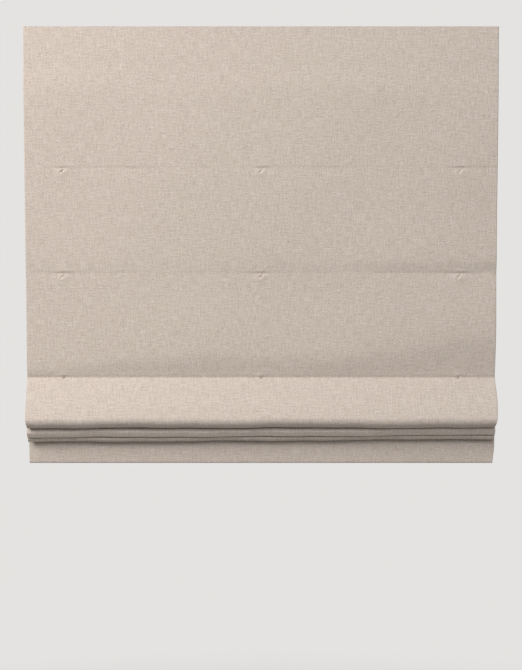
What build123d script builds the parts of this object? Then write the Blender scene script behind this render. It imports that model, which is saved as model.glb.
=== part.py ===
from build123d import *
from math import atan2, cos, degrees, hypot, pi, sin, tan
import os

# A flat roman blind without a pull cord, lowered part of the way, in millimetres.
# X runs across the blind, -Y is its front, and +Z is up.
# The origin is the middle of the four bracket holes, on the brackets' top face.

# Cloth: the sewing line is the line between the face cloth and its lining.
WIDTH = 914.0
FACE_T = 1.2
LINING_T = 0.5
SEW_GAP = 0.15
LINING_INSET = 14.0
TOP_EDGE_Z = -0.5
FIRST_ROW = 272.0
ROW_PITCH = 203.0
LAST_PITCH = 195.0
STACK_PITCH = 13.0
LOW_ROW_Y = -8.0
HEM_DROP = 130.0
HEM_Y = 12.0
HEM_TURN_UP = 50.0
HEM_POCKET = 4.6
SOFT_CLEAR = 0.3

# Headrail and brackets
RAIL_DEPTH = 57.0
RAIL_HEIGHT = 62.0
RAIL_WALL = 1.2
RAIL_LIP = 8.0
RAIL_INSET = 6.0
RAIL_BEND = 2.0
CAP_T = 2.0
CAP_PLUG = 8.0
CAP_CLEAR = 0.2
TAPE_STRIP_T = 1.5
TAPE_STRIP_H = 48.0
TAPE_STRIP_TOP = -8.0
BRACKET_INSET = 151.0
BRACKET_HOLE_X = 13.0
BRACKET_HOLE_Y = 12.0
BRACKET_HOLE_R = 2.5
BRACKET_T = 1.6
BRACKET_W = 40.0
BRACKET_CORNER_R = 3.0
BRACKET_TO_RAIL = 0.4
HOOK_W = 24.0
HOOK_CLEAR = 0.5
HOOK_TO_RAIL = 1.0
LIP_CLEAR = 0.3
LEVER_BOSS_R = 7.0
LEVER_W = 12.0
LEVER_T = 1.6
LEVER_CORNER_R = 2.0
LEVER_TO_RAIL = 2.0
PIVOT_R = 2.5
PIVOT_HEAD_R = 4.5
PIVOT_HEAD_T = 1.2
RUN_CLEAR = 0.05

# Lift gear
COLUMN_INSET = 66.0
SHAFT_Y = -4.5
SHAFT_Z = -36.0
SHAFT_SIDE = 5.0
SHAFT_OVERHANG = 15.0
SPOOL_CORE_R = 8.0
SPOOL_FLANGE_R = 14.5
SPOOL_FLANGE_T = 1.5
SPOOL_GAP = 8.0
JOURNAL_R = 5.0
JOURNAL_WALL = 4.0
CRADLE_W = 24.0
CRADLE_DEPTH = 42.0
CRADLE_WALL = 3.0
CRADLE_FLOOR = 2.0
CRADLE_CORNER_R = 2.0
CRADLE_FOOT_INSET = 3.0
SIDE_PLAY = 0.4
TAPE_W = 6.0
TAPE_T = 0.5
TAPE_COIL_R = 12.0
TAPE_FOOT_Y = 13.0
TAPE_IN_CLIP = 6.3
SLOT_W = 10.0
SLOT_DEPTH = 7.0
ROD_R = 2.0
ROD_INSET = 22.0
POCKET_T = 0.5
POCKET_SINK = 0.3
RING_R = 8.0
RING_WIRE_R = 1.0
CLIP_W = 12.0
CLIP_DEPTH = 5.0
CLIP_H = 9.0
CLIP_BORE = 6.8
CLIP_CORNER_R = 1.5
BAR_T = 4.0
BAR_H = 30.0
BAR_EDGE_R = 1.2
BAR_INSET = 12.0

# Spring motor
MOTOR_X = 150.0
MOTOR_W = 24.0
MOTOR_FRONT_Y = -20.0
MOTOR_TO_RAIL = 1.3
MOTOR_H = 46.0
MOTOR_WALL = 2.0
MOTOR_CORNER_R = 3.0
STORE_Z = -42.0
STORE_CORE_R = 5.0
OUTPUT_COIL_R = 9.6
COIL_CLEAR = 0.75
STORE_JOURNAL_R = 3.0
SPRING_W = 14.0
SPRING_T = 0.6
MOTOR_BOSS_R = 3.2
MOTOR_BOSS_SINK = 1.0
MOTOR_SCREW_R = 1.2
MOTOR_SCREW_LENGTH = 8.0
MOTOR_SCREW_HEAD_R = 2.4
MOTOR_SCREW_HEAD_T = 1.2
MOTOR_SCREW_END = 0.5

# Places that follow from the sizes above
RAIL_LENGTH = WIDTH - 2 * RAIL_INSET
ROD_LENGTH = WIDTH - 2 * ROD_INSET
BRACKET_X = RAIL_LENGTH / 2 - BRACKET_INSET
COLUMN_X = RAIL_LENGTH / 2 - COLUMN_INSET
COLUMNS = {"left": -COLUMN_X, "centre": 0.0, "right": COLUMN_X}
SIDES = {"left": -1, "right": 1}
RAIL_TOP = -BRACKET_T - BRACKET_TO_RAIL
RAIL_BOTTOM = RAIL_TOP - RAIL_HEIGHT
RAIL_FLOOR = RAIL_BOTTOM + RAIL_WALL
RAIL_FRONT = -RAIL_DEPTH / 2
LIP_EDGE = RAIL_DEPTH / 2 - RAIL_WALL - RAIL_LIP
LIP_BELOW = RAIL_TOP - RAIL_WALL - LIP_CLEAR
HEAD_Y = RAIL_FRONT - 2 * TAPE_STRIP_T - LINING_T - SEW_GAP / 2
ROW3_Z = -FIRST_ROW - 2 * ROW_PITCH
LEAN = (LOW_ROW_Y - HEAD_Y) / (RAIL_BOTTOM - ROW3_Z)
LAYER = FACE_T + SEW_GAP + LINING_T
MOTOR_BACK_Y = RAIL_DEPTH / 2 - RAIL_WALL - MOTOR_TO_RAIL
OUTPUT_BACK_Y = SHAFT_Y + OUTPUT_COIL_R
STORE_COIL_R = (MOTOR_BACK_Y - MOTOR_WALL - OUTPUT_BACK_Y) / 2 - COIL_CLEAR
STORE_Y = OUTPUT_BACK_Y + COIL_CLEAR + STORE_COIL_R

# Folds: each loop of cloth hangs in front of the next, and each tuck is at a row
TUCK_OPEN = 1.4
TUCK_WIDTH = 2 * FACE_T + SEW_GAP + TUCK_OPEN
TUCK_TOP = 2.0
KNEE = 50.0
LAYER_GAP = 1.65
LOOP_WIDTHS = (19.0, 6.5, 7.0)
FRONT_LOOP_Y = -40.0
KNEE_RADIUS = 45.0
HEAD_BEND = 60.0
ROW_BEND = 4.0
U_TURN_FILL = 0.96
LOOP_PITCHES = (ROW_PITCH, ROW_PITCH, LAST_PITCH)
TUCK_YS = (-5.5, -3.0, 2.5)
POCKET_R = ROD_R + SOFT_CLEAR


def flat_row(number):
    """The sewing line's point at one of the three rows that hang flat."""
    z = -FIRST_ROW - (number - 1) * ROW_PITCH
    return HEAD_Y + LEAN * (RAIL_BOTTOM - z), z


def tuck_row(number):
    """The sewing line's point at one of the three gathered rows."""
    return TUCK_YS[number - 4], ROW3_Z - (number - 3) * STACK_PITCH


def row_point(number):
    return flat_row(number) if number <= 3 else tuck_row(number)


def loop_layers():
    """The Y of each loop's front and back layer, from the front loop backwards."""
    layers = []
    front = FRONT_LOOP_Y
    for width in LOOP_WIDTHS:
        layers.append((front, front + width))
        front += width + LAYER + LAYER_GAP
    return layers


def loop_points(index):
    """The corners of one loop, from its own row down to its lowest edge and up to the tuck behind it.
    The loop hangs as low as the cloth between its two rows allows."""
    front, back = loop_layers()[index]
    y0, z0 = row_point(3 + index)
    y1, z1 = row_point(4 + index)
    if index:
        z0 += TUCK_TOP
    z1 += TUCK_TOP
    knee_z = ROW3_Z - KNEE
    run_down = hypot(y0 - front, z0 - knee_z)
    run_up = hypot(back - y1 + TUCK_WIDTH, z1 - knee_z)
    turns = pi * (back - front) / 2 + pi * TUCK_WIDTH / 2
    below = (LOOP_PITCHES[index] - run_down - run_up - turns) / 2 + (back - front) / 2
    low = knee_z - below
    return [
        (front, knee_z),
        (front, low),
        (back, low),
        (back, knee_z),
        (y1 - TUCK_WIDTH, z1),
        (y1, z1),
    ]


def corner_turn(before, corner, after):
    """The angle that a path turns by at a corner, in radians, positive to the left."""
    first = atan2(corner[1] - before[1], corner[0] - before[0])
    second = atan2(after[1] - corner[1], after[0] - corner[0])
    turn = second - first
    while turn > pi:
        turn -= 2 * pi
    while turn < -pi:
        turn += 2 * pi
    return turn


def u_turn_radius(a, b, c, d):
    """The radius that rounds corners b and c so that they nearly meet between them."""
    tangents = tan(abs(corner_turn(a, b, c)) / 2) + tan(abs(corner_turn(b, c, d)) / 2)
    return U_TURN_FILL * hypot(c[0] - b[0], c[1] - b[1]) / tangents


def skirt_line():
    """The top and foot of the hanging hem, and the direction down it."""
    top = (TUCK_YS[2], tuck_row(6)[1] + TUCK_TOP)
    foot = (HEM_Y, tuck_row(6)[1] - HEM_DROP)
    length = hypot(foot[0] - top[0], foot[1] - top[1])
    return top, foot, ((foot[0] - top[0]) / length, (foot[1] - top[1]) / length)


def cloth_route(with_hem):
    """The sewing line from the top edge to the hem, as points and the radius at each inner point."""
    points = [(HEAD_Y, TOP_EDGE_Z), (HEAD_Y, RAIL_BOTTOM), flat_row(3)]
    radii = [HEAD_BEND, ROW_BEND]
    for index in range(3):
        points += loop_points(index)
    top, foot, down = skirt_line()
    if with_hem:
        turned = (foot[0] + HEM_POCKET, foot[1])
        up = (turned[0] - down[0] * HEM_TURN_UP, turned[1] - down[1] * HEM_TURN_UP)
        points += [foot, turned, up]
    else:
        short = HEM_TURN_UP + HEM_POCKET
        points += [(foot[0] - down[0] * short, foot[1] - down[1] * short)]
    turns = [4, 7, 10, 13, 16, 19] + ([21] if with_hem else [])
    while len(radii) < len(points) - 2:
        i = len(radii) + 1
        if i in turns:
            radius = u_turn_radius(*points[i - 1 : i + 3])
            radii += [radius, radius]
        else:
            radii.append(KNEE_RADIUS)
    return points, radii


def beside(points, radii, shift):
    """The same route moved to its left by shift, round the same centres."""
    moved, rounds = [], []
    for i, (x, y) in enumerate(points):
        ways = []
        for a, b in ((i - 1, i), (i, i + 1)):
            if a >= 0 and b < len(points):
                run = hypot(points[b][0] - points[a][0], points[b][1] - points[a][1])
                across = (points[a][1] - points[b][1]) / run
                ways.append((across, (points[b][0] - points[a][0]) / run))
        first, last = ways[0], ways[-1]
        spread = 1 + first[0] * last[0] + first[1] * last[1] if len(ways) == 2 else 2
        moved.append(
            (
                x + shift * (first[0] + last[0]) / spread,
                y + shift * (first[1] + last[1]) / spread,
            )
        )
    for i, radius in enumerate(radii):
        turn = corner_turn(points[i], points[i + 1], points[i + 2])
        rounds.append(radius - shift if turn > 0 else radius + shift)
    return moved, rounds


def cloth_outline(with_hem, near, far):
    """The closed outline of a cloth that lies between two distances from the sewing line."""
    points, radii = cloth_route(with_hem)
    a_points, a_radii = beside(points, radii, near)
    b_points, b_radii = beside(points, radii, far)
    FilletPolyline(*a_points, radius=a_radii)
    FilletPolyline(*b_points, radius=b_radii)
    Line(a_points[0], b_points[0])
    Line(a_points[-1], b_points[-1])


def tuck_back(number):
    """The rearmost point of the lining's tuck at a gathered row."""
    points, radii = cloth_route(False)
    i = 8 + 6 * (number - 4)
    radius = radii[i - 1]
    tangent = radius * tan(abs(corner_turn(*points[i - 1 : i + 2])) / 2)
    return points[i][0] - tangent + radius + SEW_GAP / 2 + LINING_T, points[i][1] - radius


def rod_centre(number):
    """The middle of a row's rod, in its pocket behind the lining."""
    if number > 3:
        y, z = tuck_back(number)
    else:
        y, z = flat_row(number)
        y += SEW_GAP / 2 + LINING_T
    return y + POCKET_R + POCKET_T - POCKET_SINK, z


def ring_centre(number):
    y, z = rod_centre(number)
    return y + POCKET_R + POCKET_T + SOFT_CLEAR + RING_WIRE_R + RING_R, z


def tape_line():
    """The top and foot of the straight part of a lift tape, which leaves the front of its coil."""
    foot_z = ring_centre(6)[1] - RING_WIRE_R - SOFT_CLEAR - TAPE_IN_CLIP
    lean = atan2(TAPE_FOOT_Y - SHAFT_Y + TAPE_COIL_R, SHAFT_Z - foot_z)
    top = (SHAFT_Y - TAPE_COIL_R * cos(lean), SHAFT_Z - TAPE_COIL_R * sin(lean))
    return top, (top[0] + tan(lean) * (top[1] - foot_z), foot_z), lean


def tape_y(z):
    top, _, lean = tape_line()
    return top[0] + tan(lean) * (top[1] - z)


def save(piece, name):
    piece.label = name
    export_step(piece, f"parts/{name}.step")


os.makedirs("parts", exist_ok=True)

# Face cloth, one folded sheet with its hem turned up behind
with BuildPart() as face_cloth:
    with BuildSketch(Plane.YZ):
        with BuildLine():
            cloth_outline(True, -SEW_GAP / 2 - FACE_T, -SEW_GAP / 2)
        make_face()
    extrude(amount=WIDTH / 2, both=True)
save(face_cloth.part, "face_cloth")

# Lining, with a sewn pocket for each rod
with BuildPart() as lining:
    with BuildSketch(Plane.YZ):
        with BuildLine():
            cloth_outline(False, SEW_GAP / 2, SEW_GAP / 2 + LINING_T)
        make_face()
        with Locations(*[rod_centre(number) for number in range(1, 7)]):
            Circle(POCKET_R + POCKET_T)
            Circle(POCKET_R, mode=Mode.SUBTRACT)
    extrude(amount=WIDTH / 2 - LINING_INSET, both=True)
save(lining.part, "lining")

# Each row's rod and its three sewn rings
for number in range(1, 7):
    with BuildPart() as rod:
        with BuildSketch(Plane.YZ):
            with Locations(rod_centre(number)):
                Circle(ROD_R)
        extrude(amount=ROD_LENGTH / 2, both=True)
    save(rod.part, f"row_rod_{number}")

    ring_y, ring_z = ring_centre(number)
    with BuildPart() as rings:
        for column in COLUMNS.values():
            with Locations((column, ring_y, ring_z)):
                Torus(RING_R, RING_WIRE_R)
    save(rings.part, f"row_rings_{number}")

# Weight bar in the hem's pocket
_, hem_foot, skirt_down = skirt_line()
bar_up = HEM_POCKET / 2 + SOFT_CLEAR + BAR_H / 2
bar_middle = (
    hem_foot[0] + HEM_POCKET / 2 - skirt_down[0] * bar_up,
    hem_foot[1] - skirt_down[1] * bar_up,
)
with BuildPart() as weight_bar:
    with BuildSketch(Plane.YZ):
        with Locations(bar_middle):
            Rectangle(BAR_T, BAR_H, rotation=degrees(atan2(skirt_down[0], -skirt_down[1])))
    extrude(amount=WIDTH / 2 - BAR_INSET, both=True)
    fillet(weight_bar.edges().filter_by(Axis.X), BAR_EDGE_R)
save(weight_bar.part, "weight_bar")

# Headrail: a rolled steel channel with two lips at the top and a slot for each tape
with BuildPart() as headrail:
    with BuildSketch(Plane.YZ):
        with BuildLine():
            half = RAIL_DEPTH / 2
            inner = half - RAIL_WALL
            FilletPolyline(
                (-LIP_EDGE, RAIL_TOP),
                (-half, RAIL_TOP),
                (-half, RAIL_BOTTOM),
                (half, RAIL_BOTTOM),
                (half, RAIL_TOP),
                (LIP_EDGE, RAIL_TOP),
                radius=RAIL_BEND,
            )
            FilletPolyline(
                (-LIP_EDGE, RAIL_TOP - RAIL_WALL),
                (-inner, RAIL_TOP - RAIL_WALL),
                (-inner, RAIL_FLOOR),
                (inner, RAIL_FLOOR),
                (inner, RAIL_TOP - RAIL_WALL),
                (LIP_EDGE, RAIL_TOP - RAIL_WALL),
                radius=RAIL_BEND - RAIL_WALL,
            )
            Line((-LIP_EDGE, RAIL_TOP), (-LIP_EDGE, RAIL_TOP - RAIL_WALL))
            Line((LIP_EDGE, RAIL_TOP), (LIP_EDGE, RAIL_TOP - RAIL_WALL))
        make_face()
    extrude(amount=RAIL_LENGTH / 2, both=True)
    with BuildSketch(Plane.XY.offset(RAIL_BOTTOM)):
        with Locations(*[(x, tape_y(RAIL_BOTTOM)) for x in COLUMNS.values()]):
            SlotOverall(SLOT_W + SLOT_DEPTH, SLOT_DEPTH)
    extrude(amount=RAIL_WALL, mode=Mode.SUBTRACT)
save(headrail.part, "headrail")

# End caps, each with a rim that plugs into the headrail
plug_half = RAIL_DEPTH / 2 - RAIL_WALL - CAP_CLEAR
plug_top = LIP_BELOW
plug_bottom = RAIL_FLOOR + CAP_CLEAR
for side, way in SIDES.items():
    with BuildPart() as end_cap:
        with BuildSketch(Plane.YZ.offset(way * RAIL_LENGTH / 2)):
            with Locations((0, (RAIL_TOP + RAIL_BOTTOM) / 2)):
                RectangleRounded(RAIL_DEPTH, RAIL_HEIGHT, RAIL_BEND)
        extrude(amount=way * CAP_T)
        with BuildSketch(Plane.YZ.offset(way * RAIL_LENGTH / 2)):
            with Locations((0, (plug_top + plug_bottom) / 2)):
                RectangleRounded(2 * plug_half, plug_top - plug_bottom, RAIL_BEND)
                RectangleRounded(
                    2 * plug_half - 2 * CAP_T,
                    plug_top - plug_bottom - 2 * CAP_T,
                    RAIL_BEND / 2,
                    mode=Mode.SUBTRACT,
                )
        extrude(amount=-way * CAP_PLUG)
    save(end_cap.part, f"end_cap_{side}")

# Two strips of hook and loop tape hold the cloth's head to the headrail
for index, name in enumerate(("hook_strip", "loop_strip")):
    back_y = RAIL_FRONT - index * TAPE_STRIP_T
    with BuildPart() as strip:
        with BuildSketch(Plane.YZ):
            with Locations((back_y - TAPE_STRIP_T / 2, TAPE_STRIP_TOP - TAPE_STRIP_H / 2)):
                Rectangle(TAPE_STRIP_T, TAPE_STRIP_H)
        extrude(amount=RAIL_LENGTH / 2 - CAP_PLUG, both=True)
    save(strip.part, name)

# Brackets: a plate whose front hook holds one lip, and a lever that swings under the other
hook_y = -LIP_EDGE + HOOK_CLEAR
hook_reach = RAIL_DEPTH / 2 - RAIL_WALL - HOOK_TO_RAIL
lever_reach = RAIL_DEPTH / 2 - RAIL_WALL - LEVER_TO_RAIL
lever_top = -BRACKET_T - RUN_CLEAR
lever_foot = LIP_BELOW - LEVER_T
pivot_foot = lever_foot - RUN_CLEAR
for side, way in SIDES.items():
    middle = way * BRACKET_X
    with BuildPart() as bracket:
        with BuildSketch(Plane.XY):
            with Locations((middle, 0)):
                RectangleRounded(BRACKET_W, -2 * hook_y, BRACKET_CORNER_R)
            with Locations((middle, 0)):
                Circle(PIVOT_R + RUN_CLEAR, mode=Mode.SUBTRACT)
            hole_x = middle + way * BRACKET_HOLE_X
            with Locations((hole_x, BRACKET_HOLE_Y), (hole_x, -BRACKET_HOLE_Y)):
                Circle(BRACKET_HOLE_R, mode=Mode.SUBTRACT)
        extrude(amount=-BRACKET_T)
        with BuildSketch(Plane.YZ.offset(middle)):
            with BuildLine():
                Polyline(
                    (hook_y, -BRACKET_T / 2),
                    (hook_y, LIP_BELOW),
                    (-hook_reach, LIP_BELOW),
                    (-hook_reach, LIP_BELOW - BRACKET_T),
                    (hook_y + BRACKET_T, LIP_BELOW - BRACKET_T),
                    (hook_y + BRACKET_T, -BRACKET_T / 2),
                    close=True,
                )
            make_face()
        extrude(amount=HOOK_W / 2, both=True)
    save(bracket.part, f"bracket_{side}")

    with BuildPart() as lever:
        with BuildSketch(Plane.XY.offset(lever_foot)):
            with Locations((middle, 0)):
                Circle(LEVER_BOSS_R)
        extrude(amount=lever_top - lever_foot)
        with BuildSketch(Plane.XY.offset(LIP_BELOW)):
            with Locations((middle, lever_reach / 2)):
                RectangleRounded(LEVER_W, lever_reach, LEVER_CORNER_R)
        extrude(amount=-LEVER_T)
        with BuildSketch(Plane.XY.offset(lever_foot)):
            with Locations((middle, 0)):
                Circle(PIVOT_R + RUN_CLEAR)
        extrude(amount=lever_top - lever_foot, mode=Mode.SUBTRACT)
    save(lever.part, f"bracket_lever_{side}")

    with BuildPart() as rivet:
        with BuildSketch(Plane.XY.offset(pivot_foot)):
            with Locations((middle, 0)):
                Circle(PIVOT_R)
        extrude(amount=-pivot_foot)
        with BuildSketch(Plane.XY.offset(pivot_foot)):
            with Locations((middle, 0)):
                Circle(PIVOT_HEAD_R)
        extrude(amount=-PIVOT_HEAD_T)
    save(rivet.part, f"bracket_rivet_{side}")

# Lift spools, each running in a cradle on the headrail's floor
spool_half = SPOOL_GAP / 2 + SPOOL_FLANGE_T
wall_inner = spool_half + SIDE_PLAY
for name, x in COLUMNS.items():
    with BuildPart() as cradle:
        with BuildSketch(Plane.XY.offset(RAIL_FLOOR)):
            with Locations((x, SHAFT_Y)):
                RectangleRounded(CRADLE_W, CRADLE_DEPTH, CRADLE_CORNER_R)
            with Locations((x, tape_y(RAIL_BOTTOM))):
                Rectangle(SLOT_W, SLOT_DEPTH, mode=Mode.SUBTRACT)
        extrude(amount=CRADLE_FLOOR)
        for way in (-1, 1):
            with BuildSketch(Plane.YZ.offset(x + way * wall_inner)):
                with BuildLine():
                    floor_half = CRADLE_DEPTH / 2 - CRADLE_FOOT_INSET
                    crown = JOURNAL_R + JOURNAL_WALL
                    Polyline(
                        (SHAFT_Y - crown, SHAFT_Z),
                        (SHAFT_Y - floor_half, RAIL_FLOOR),
                        (SHAFT_Y + floor_half, RAIL_FLOOR),
                        (SHAFT_Y + crown, SHAFT_Z),
                    )
                    ThreePointArc(
                        (SHAFT_Y + crown, SHAFT_Z),
                        (SHAFT_Y, SHAFT_Z + crown),
                        (SHAFT_Y - crown, SHAFT_Z),
                    )
                make_face()
                with Locations((SHAFT_Y, SHAFT_Z)):
                    Circle(JOURNAL_R + RUN_CLEAR, mode=Mode.SUBTRACT)
            extrude(amount=way * CRADLE_WALL)
    save(cradle.part, f"spool_cradle_{name}")

    with BuildPart() as spool:
        with BuildSketch(Plane.YZ.offset(x)):
            with Locations((SHAFT_Y, SHAFT_Z)):
                Circle(SPOOL_CORE_R)
        extrude(amount=spool_half, both=True)
        with BuildSketch(Plane.YZ.offset(x)):
            with Locations((SHAFT_Y, SHAFT_Z)):
                Circle(JOURNAL_R)
        extrude(amount=wall_inner + CRADLE_WALL, both=True)
        for way in (-1, 1):
            with BuildSketch(Plane.YZ.offset(x + way * SPOOL_GAP / 2)):
                with Locations((SHAFT_Y, SHAFT_Z)):
                    Circle(SPOOL_FLANGE_R)
            extrude(amount=way * SPOOL_FLANGE_T)
        with BuildSketch(Plane.YZ.offset(x)):
            with Locations((SHAFT_Y, SHAFT_Z)):
                Rectangle(SHAFT_SIDE + 2 * RUN_CLEAR, SHAFT_SIDE + 2 * RUN_CLEAR)
        extrude(amount=wall_inner + 2 * CRADLE_WALL, both=True, mode=Mode.SUBTRACT)
    save(spool.part, f"lift_spool_{name}")

    # Woven tape: its coil on the spool and the taut run down through the rings to the clip
    tape_top, tape_foot, tape_lean = tape_line()
    half_t = TAPE_T / 2
    with BuildPart() as lift_tape:
        with BuildSketch(Plane.YZ.offset(x)):
            with Locations((SHAFT_Y, SHAFT_Z)):
                Circle(TAPE_COIL_R + half_t)
                Circle(SPOOL_CORE_R + SOFT_CLEAR, mode=Mode.SUBTRACT)
            with BuildLine():
                across = (half_t * cos(tape_lean), half_t * sin(tape_lean))
                Polyline(
                    (tape_top[0] - across[0], tape_top[1] - across[1]),
                    (tape_foot[0] - across[0], tape_foot[1] - across[1]),
                    (tape_foot[0] + across[0], tape_foot[1] + across[1]),
                    (tape_top[0] + across[0], tape_top[1] + across[1]),
                    close=True,
                )
            make_face()
        extrude(amount=TAPE_W / 2, both=True)
    save(lift_tape.part, f"lift_tape_{name}")

with BuildPart() as lift_shaft:
    with BuildSketch(Plane.YZ):
        with Locations((SHAFT_Y, SHAFT_Z)):
            Rectangle(SHAFT_SIDE, SHAFT_SIDE)
    extrude(amount=COLUMN_X + SHAFT_OVERHANG, both=True)
save(lift_shaft.part, "lift_shaft")

# Clips that hold the feet of the tapes under the lowest rings
clip_top = ring_centre(6)[1] - RING_WIRE_R - SOFT_CLEAR
with BuildPart() as tape_clips:
    for x in COLUMNS.values():
        with Locations((x, tape_y(clip_top), clip_top - CLIP_H / 2)):
            Box(CLIP_W, CLIP_DEPTH, CLIP_H)
    fillet(tape_clips.edges().filter_by(Axis.Z), CLIP_CORNER_R)
    for x in COLUMNS.values():
        with Locations((x, tape_y(clip_top), clip_top)):
            Box(
                TAPE_W + 2 * SOFT_CLEAR,
                TAPE_T + 4 * SOFT_CLEAR,
                2 * CLIP_BORE,
                mode=Mode.SUBTRACT,
            )
save(tape_clips.part, "tape_clips")

# Spring motor: a flat spring runs from its store spool to the spool on the shaft
motor_top = RAIL_FLOOR + MOTOR_H
motor_middle = ((MOTOR_FRONT_Y + MOTOR_BACK_Y) / 2, (RAIL_FLOOR + motor_top) / 2)
motor_depth = MOTOR_BACK_Y - MOTOR_FRONT_Y
case_end = MOTOR_X + MOTOR_W - MOTOR_WALL
boss_y = motor_depth / 2 - MOTOR_WALL - MOTOR_BOSS_R + MOTOR_BOSS_SINK
boss_z = MOTOR_H / 2 - MOTOR_WALL - MOTOR_BOSS_R + MOTOR_BOSS_SINK
boss_places = [
    (motor_middle[0] + a * boss_y, motor_middle[1] + b * boss_z)
    for a, b in ((-1, -1), (1, -1), (-1, 1), (1, 1))
]
with BuildPart() as motor_case:
    with BuildSketch(Plane.YZ.offset(MOTOR_X)):
        with Locations(motor_middle):
            RectangleRounded(motor_depth, MOTOR_H, MOTOR_CORNER_R)
    extrude(amount=MOTOR_W - MOTOR_WALL)
    with BuildSketch(Plane.YZ.offset(MOTOR_X + MOTOR_WALL)):
        with Locations(motor_middle):
            RectangleRounded(
                motor_depth - 2 * MOTOR_WALL,
                MOTOR_H - 2 * MOTOR_WALL,
                MOTOR_CORNER_R - MOTOR_WALL,
            )
        with Locations(*boss_places):
            Circle(MOTOR_BOSS_R, mode=Mode.SUBTRACT)
    extrude(amount=MOTOR_W, mode=Mode.SUBTRACT)
    with BuildSketch(Plane.YZ.offset(MOTOR_X)):
        with Locations((SHAFT_Y, SHAFT_Z)):
            Circle(JOURNAL_R + RUN_CLEAR)
        with Locations((STORE_Y, STORE_Z)):
            Circle(STORE_JOURNAL_R + RUN_CLEAR)
    extrude(amount=MOTOR_WALL, mode=Mode.SUBTRACT)
    with BuildSketch(Plane.YZ.offset(case_end)):
        with Locations(*boss_places):
            Circle(MOTOR_SCREW_R + RUN_CLEAR)
    extrude(amount=-MOTOR_SCREW_LENGTH, mode=Mode.SUBTRACT)
save(motor_case.part, "motor_case")

with BuildPart() as motor_cover:
    with BuildSketch(Plane.YZ.offset(case_end)):
        with Locations(motor_middle):
            RectangleRounded(motor_depth, MOTOR_H, MOTOR_CORNER_R)
        with Locations((SHAFT_Y, SHAFT_Z)):
            Circle(JOURNAL_R + RUN_CLEAR, mode=Mode.SUBTRACT)
        with Locations((STORE_Y, STORE_Z)):
            Circle(STORE_JOURNAL_R + RUN_CLEAR, mode=Mode.SUBTRACT)
        with Locations(*boss_places):
            Circle(MOTOR_SCREW_R + RUN_CLEAR, mode=Mode.SUBTRACT)
    extrude(amount=MOTOR_WALL)
save(motor_cover.part, "motor_cover")

with BuildPart() as motor_screws:
    with BuildSketch(Plane.YZ.offset(case_end + MOTOR_WALL)):
        with Locations(*boss_places):
            Circle(MOTOR_SCREW_R)
    extrude(amount=MOTOR_SCREW_END - MOTOR_SCREW_LENGTH)
    with BuildSketch(Plane.YZ.offset(case_end + MOTOR_WALL)):
        with Locations(*boss_places):
            Circle(MOTOR_SCREW_HEAD_R)
    extrude(amount=MOTOR_SCREW_HEAD_T)
save(motor_screws.part, "motor_screws")

motor_spools = (
    ("motor_output_spool", SHAFT_Y, SHAFT_Z, SPOOL_CORE_R, JOURNAL_R),
    ("motor_store_spool", STORE_Y, STORE_Z, STORE_CORE_R, STORE_JOURNAL_R),
)
core_start = MOTOR_X + MOTOR_WALL + SIDE_PLAY
core_length = MOTOR_W - 2 * MOTOR_WALL - 2 * SIDE_PLAY
for name, y, z, core_r, journal_r in motor_spools:
    with BuildPart() as motor_spool:
        with BuildSketch(Plane.YZ.offset(core_start)):
            with Locations((y, z)):
                Circle(core_r)
        extrude(amount=core_length)
        with BuildSketch(Plane.YZ.offset(MOTOR_X)):
            with Locations((y, z)):
                Circle(journal_r)
        extrude(amount=MOTOR_W)
        if name == "motor_output_spool":
            with BuildSketch(Plane.YZ.offset(MOTOR_X)):
                with Locations((y, z)):
                    Rectangle(SHAFT_SIDE + 2 * RUN_CLEAR, SHAFT_SIDE + 2 * RUN_CLEAR)
            extrude(amount=MOTOR_W, mode=Mode.SUBTRACT)
    save(motor_spool.part, name)

# The spring's two coils and the crossing run between them
span_y = STORE_Y - SHAFT_Y
span_z = STORE_Z - SHAFT_Z
out_r = OUTPUT_COIL_R - SPRING_T / 2
in_r = STORE_COIL_R - SPRING_T / 2
tilt = atan2(span_z, span_y)
cross_angle = tilt + atan2(
    (hypot(span_y, span_z) ** 2 - (out_r + in_r) ** 2) ** 0.5, out_r + in_r
)
run_start = (SHAFT_Y + out_r * cos(cross_angle), SHAFT_Z + out_r * sin(cross_angle))
run_end = (STORE_Y - in_r * cos(cross_angle), STORE_Z - in_r * sin(cross_angle))
run_middle = ((run_start[0] + run_end[0]) / 2, (run_start[1] + run_end[1]) / 2)
run_length = hypot(run_end[0] - run_start[0], run_end[1] - run_start[1])
run_tilt = atan2(run_end[1] - run_start[1], run_end[0] - run_start[0])
with BuildPart() as motor_spring:
    with BuildSketch(Plane.YZ.offset(MOTOR_X + MOTOR_W / 2)):
        with Locations((SHAFT_Y, SHAFT_Z)):
            Circle(OUTPUT_COIL_R)
            Circle(SPOOL_CORE_R + SOFT_CLEAR, mode=Mode.SUBTRACT)
        with Locations((STORE_Y, STORE_Z)):
            Circle(STORE_COIL_R)
            Circle(STORE_CORE_R + SOFT_CLEAR, mode=Mode.SUBTRACT)
        with Locations(run_middle):
            Rectangle(run_length, SPRING_T, rotation=degrees(run_tilt))
    extrude(amount=SPRING_W / 2, both=True)
save(motor_spring.part, "motor_spring")
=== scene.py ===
"""A flat roman blind of plain linen with a cotton lining, partly lowered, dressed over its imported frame.

X runs across the blind, -Y is its front and +Z is up. The scene's lengths are metres, and the blind is
worked out in millimetres. Every cloth piece is a surface of two parameters: x, the place across the blind,
and s, the distance down the cloth."""

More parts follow.
